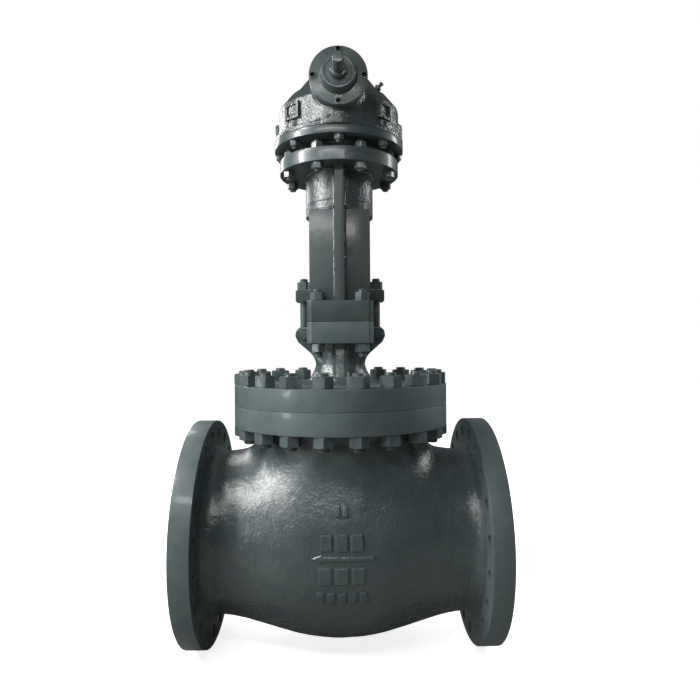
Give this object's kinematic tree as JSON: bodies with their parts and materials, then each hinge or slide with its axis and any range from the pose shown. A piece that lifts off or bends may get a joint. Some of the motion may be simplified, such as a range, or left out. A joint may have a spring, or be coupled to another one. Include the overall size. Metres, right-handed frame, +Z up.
{
  "type": "globe valve",
  "caption": "Flanged bolted-bonnet globe valve with a rising stem, a welded yoke and a bevel gear operator with a bare input shaft.",
  "frame": {"origin": "on the ground under the stem axis, level with the lowest point of the pipe flanges", "axes": "+Z up the stem, +X towards the inlet flange, -Y towards the input shaft"},
  "size_m": [0.864, 0.6478, 1.7488],
  "materials": {
    "cast_paint": "thick gloss over rough casting",
    "machined_paint": "satin over machined steel",
    "fastener_paint": "satin, painted over",
    "trim_steel": "ground",
    "drive_steel": "turned, oiled",
    "bearing_steel": "polished",
    "bronze": "turned",
    "graphite": "pressed graphite",
    "seal_rubber": "moulded"
  },
  "bodies": {
    "valve": {"body": "cast_paint", "seat_ring": "trim_steel", "bonnet_gasket": "graphite", "bonnet": "cast_paint", "backseat_bush": "bronze", "bonnet_studs": "fastener_paint", "bonnet_nuts": "fastener_paint", "packing_rings": "graphite", "gland_bush": "trim_steel", "gland_flange": "machined_paint", "eye_bolt_pins": "fastener_paint", "yoke": "machined_paint", "yoke_studs": "fastener_paint", "yoke_nuts": "fastener_paint", "operator_base": "machined_paint", "operator_studs": "fastener_paint", "operator_nuts": "fastener_paint", "gear_case": "cast_paint", "case_studs": "fastener_paint", "case_nuts": "fastener_paint", "thrust_races_fixed": "bearing_steel", "shaft_bearing_outer": "bearing_steel", "bearing_cap": "machined_paint", "cap_screws": "fastener_paint", "shaft_seal": "seal_rubber", "stem_cover": "machined_paint", "cover_screws": "fastener_paint", "grease_fitting": "fastener_paint"},
    "stem": {"stem": "trim_steel", "stem_guide_front": "drive_steel", "stem_guide_rear": "drive_steel", "guide_bolts": "drive_steel"},
    "disc": {"disc": "trim_steel", "disc_nut": "trim_steel"},
    "drive": {"drive_sleeve": "drive_steel", "stem_nut": "bronze", "lock_ring": "drive_steel", "bevel_gear": "drive_steel", "gear_key": "drive_steel", "thrust_races_turning": "bearing_steel"},
    "thrust_balls": {"thrust_balls": "bearing_steel"},
    "pinion": {"bevel_pinion": "drive_steel", "pinion_key": "drive_steel", "input_shaft": "machined_paint", "shaft_bearing_inner": "bearing_steel", "bearing_spacer": "drive_steel"},
    "shaft_balls": {"shaft_bearing_balls": "bearing_steel"},
    "eye_bolt_left": {"eye_bolt_left": "fastener_paint", "gland_nut_left": "fastener_paint"},
    "eye_bolt_right": {"eye_bolt_right": "fastener_paint", "gland_nut_right": "fastener_paint"}
  },
  "joints": [
    {"name": "gear_spin", "type": "hinge", "parent": "valve", "child": "drive", "pos_m": [0, 0, 1.50385], "axis": [0, 0, 1], "range_deg": [0, 3180]},
    {"name": "stem_lift", "type": "slide", "parent": "valve", "child": "stem", "axis": [0, 0, 1], "range_m": [0, 0.10601]},
    {"name": "disc_swivel", "type": "hinge", "parent": "stem", "child": "disc", "pos_m": [0, 0, 0.36385], "axis": [0, 0, 1], "continuous": true},
    {"name": "input_spin", "type": "hinge", "parent": "valve", "child": "pinion", "pos_m": [0, -0.2, 1.58185], "axis": [0, -1, 0], "range_deg": [0, 9541]},
    {"name": "thrust_ball_orbit", "type": "hinge", "parent": "valve", "child": "thrust_balls", "pos_m": [0, 0, 1.50385], "axis": [0, 0, 1], "range_deg": [0, 1591]},
    {"name": "shaft_ball_orbit", "type": "hinge", "parent": "valve", "child": "shaft_balls", "pos_m": [0, -0.17, 1.58185], "axis": [0, -1, 0], "range_deg": [0, 3910]},
    {"name": "eye_left_swing", "type": "hinge", "parent": "valve", "child": "eye_bolt_left", "pos_m": [-0.108, 0, 0.90185], "axis": [0, -1, 0], "range_deg": [0, 80]},
    {"name": "eye_right_swing", "type": "hinge", "parent": "valve", "child": "eye_bolt_right", "pos_m": [0.108, 0, 0.90185], "axis": [0, 1, 0], "range_deg": [0, 80]}
  ],
  "couplings": [
    {"joint": "stem_lift", "follows": "gear_spin", "m_per_rad": 0.0019099},
    {"joint": "input_spin", "follows": "gear_spin", "ratio": 3},
    {"joint": "thrust_ball_orbit", "follows": "gear_spin", "ratio": 0.5},
    {"joint": "shaft_ball_orbit", "follows": "gear_spin", "ratio": 1.229}
  ]
}
